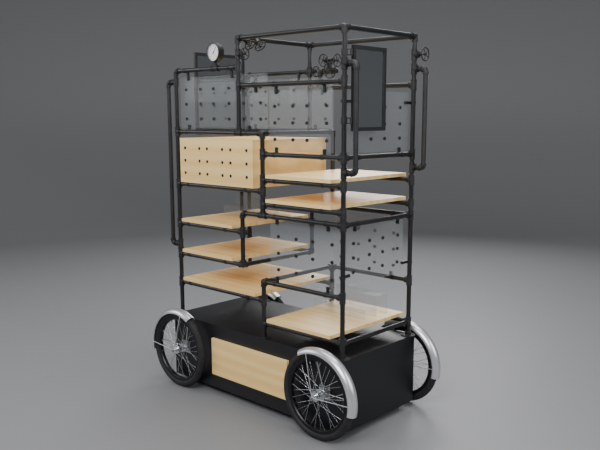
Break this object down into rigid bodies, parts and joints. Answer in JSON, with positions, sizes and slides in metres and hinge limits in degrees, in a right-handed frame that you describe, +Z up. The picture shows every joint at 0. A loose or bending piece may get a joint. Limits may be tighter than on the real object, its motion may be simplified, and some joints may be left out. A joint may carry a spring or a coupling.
{
  "type": "eyeglasses display stand",
  "caption": "Floor stand for eyeglasses: black pipe frame with pine shelves, socket panels, mirrors and a gauge on a black cabinet with spoked wheels.",
  "frame": {"origin": "on the floor under the centre of the stand's bounding box", "axes": "+Z up, the front with the wooden drawer faces -Y, +X to the right as seen from the front"},
  "size_m": [1.8039, 0.9428, 2.278],
  "materials": {
    "black_pipe": "satin",
    "black_fitting": "satin",
    "black_steel": "satin",
    "pine": "satin",
    "plywood": "satin",
    "zinc_steel": "brushed",
    "black_board": "matt laminate",
    "clear_acrylic": "polished",
    "gauge_window": "polished",
    "socket_rubber": "matt",
    "tyre_rubber": "matt",
    "black_wheel": "gloss",
    "silver_guard": "polished",
    "mirror_glass": "polished",
    "white_dial": "satin",
    "needle_paint": "satin",
    "cast_wheel": "painted"
  },
  "bodies": {
    "stand": {"pipe_posts": "black_pipe", "front_rails": "black_pipe", "back_rails": "black_pipe", "side_rails": "black_pipe", "bypass_loops": "black_pipe", "front_fittings": "black_fitting", "back_fittings": "black_fitting", "valve_manifold": "black_fitting", "floor_flanges": "black_steel", "panel_clips": "black_steel", "pipe_saddles": "black_steel", "mirror_clamps": "black_steel", "gauge_case": "black_steel", "valve_bonnets": "black_steel", "shelf_right_top": "pine", "shelf_right_middle": "pine", "shelf_right_bottom": "pine", "shelf_left_top": "pine", "shelf_left_middle": "pine", "shelf_left_bottom": "pine", "display_box_front": "pine", "display_box_shell": "pine", "drawer_rails": "zinc_steel", "wheel_axles": "zinc_steel", "cabinet_top": "black_board", "cabinet_walls": "black_board", "cabinet_front": "black_board", "clear_panels_upper_left": "clear_acrylic", "clear_panels_upper_right": "clear_acrylic", "clear_panels_lower": "clear_acrylic", "clear_panels_end": "clear_acrylic", "clear_risers": "clear_acrylic", "gauge_glass": "gauge_window", "display_box_sockets": "socket_rubber", "temple_grommets": "socket_rubber", "mudguards": "silver_guard", "gauge_dial": "white_dial"},
    "wheel_front_right_body": {"tyre_front_right": "tyre_rubber", "wheel_front_right": "black_wheel"},
    "wheel_front_left_body": {"tyre_front_left": "tyre_rubber", "wheel_front_left": "black_wheel"},
    "wheel_back_right_body": {"tyre_back_right": "tyre_rubber", "wheel_back_right": "black_wheel"},
    "wheel_back_left_body": {"tyre_back_left": "tyre_rubber", "wheel_back_left": "black_wheel"},
    "drawer": {"drawer_front": "pine", "drawer_tray": "plywood"},
    "mirror_right": {"mirror_right_frame": "black_steel", "mirror_right_glass": "mirror_glass"},
    "mirror_left": {"mirror_left_frame": "black_steel", "mirror_left_glass": "mirror_glass"},
    "needle": {"gauge_needle": "needle_paint"},
    "valve_mast_low": {"handwheel_mast_low": "cast_wheel"},
    "valve_mast_back": {"handwheel_mast_back": "cast_wheel"},
    "valve_top_front": {"handwheel_top_front": "cast_wheel"},
    "valve_top_back": {"handwheel_top_back": "cast_wheel"},
    "valve_manifold_upper": {"handwheel_manifold_upper": "cast_wheel"},
    "valve_manifold_large": {"handwheel_manifold_large": "cast_wheel"},
    "valve_manifold_side": {"handwheel_manifold_side": "cast_wheel"},
    "valve_right_post": {"handwheel_right_post": "cast_wheel"}
  },
  "joints": [
    {"name": "front_right_wheel_spin", "type": "hinge", "parent": "stand", "child": "wheel_front_right_body", "pos_m": [0.626, -0.406, 0.26], "axis": [0, 1, 0], "continuous": true},
    {"name": "front_left_wheel_spin", "type": "hinge", "parent": "stand", "child": "wheel_front_left_body", "pos_m": [-0.626, -0.406, 0.26], "axis": [0, 1, 0], "continuous": true},
    {"name": "back_right_wheel_spin", "type": "hinge", "parent": "stand", "child": "wheel_back_right_body", "pos_m": [0.626, 0.406, 0.26], "axis": [0, 1, 0], "continuous": true},
    {"name": "back_left_wheel_spin", "type": "hinge", "parent": "stand", "child": "wheel_back_left_body", "pos_m": [-0.626, 0.406, 0.26], "axis": [0, 1, 0], "continuous": true},
    {"name": "drawer_slide", "type": "slide", "parent": "stand", "child": "drawer", "axis": [0, -1, 0], "range_m": [0, 0.45]},
    {"name": "mirror_right_swivel", "type": "hinge", "parent": "stand", "child": "mirror_right", "pos_m": [0.754, -0.294, 1.95], "axis": [0, 0, 1], "range_deg": [-65, 0]},
    {"name": "mirror_left_swivel", "type": "hinge", "parent": "stand", "child": "mirror_left", "pos_m": [-0.7, 0.288, 1.9], "axis": [0, 0, 1], "range_deg": [-60, 20]},
    {"name": "gauge_needle_turn", "type": "hinge", "parent": "stand", "child": "needle", "pos_m": [-0.305, -0.337, 2.187], "axis": [0, -1, 0], "range_deg": [-95, 165]},
    {"name": "valve_mast_low_turn", "type": "hinge", "parent": "stand", "child": "valve_mast_low", "pos_m": [-0.1, -0.315, 2.165], "axis": [1, 0, 0], "continuous": true},
    {"name": "valve_mast_back_turn", "type": "hinge", "parent": "stand", "child": "valve_mast_back", "pos_m": [-0.1, 0.315, 2.091], "axis": [1, 0, 0], "continuous": true},
    {"name": "valve_top_front_turn", "type": "hinge", "parent": "stand", "child": "valve_top_front", "pos_m": [-0.1, -0.253, 2.259], "axis": [0.7071, 0, -0.7071], "continuous": true},
    {"name": "valve_top_back_turn", "type": "hinge", "parent": "stand", "child": "valve_top_back", "pos_m": [-0.1, -0.17, 2.259], "axis": [0.7071, 0, -0.7071], "continuous": true},
    {"name": "valve_manifold_upper_turn", "type": "hinge", "parent": "stand", "child": "valve_manifold_upper", "pos_m": [0.072, 0.315, 2.153], "axis": [0, -1, 0], "continuous": true},
    {"name": "valve_manifold_large_turn", "type": "hinge", "parent": "stand", "child": "valve_manifold_large", "pos_m": [0.138, 0.315, 2.088], "axis": [0, -1, 0], "continuous": true},
    {"name": "valve_manifold_side_turn", "type": "hinge", "parent": "stand", "child": "valve_manifold_side", "pos_m": [0.072, 0.315, 2.153], "axis": [1, 0, 0], "continuous": true},
    {"name": "valve_right_post_turn", "type": "hinge", "parent": "stand", "child": "valve_right_post", "pos_m": [0.724, 0.315, 2.154], "axis": [1, 0, 0], "continuous": true}
  ]
}
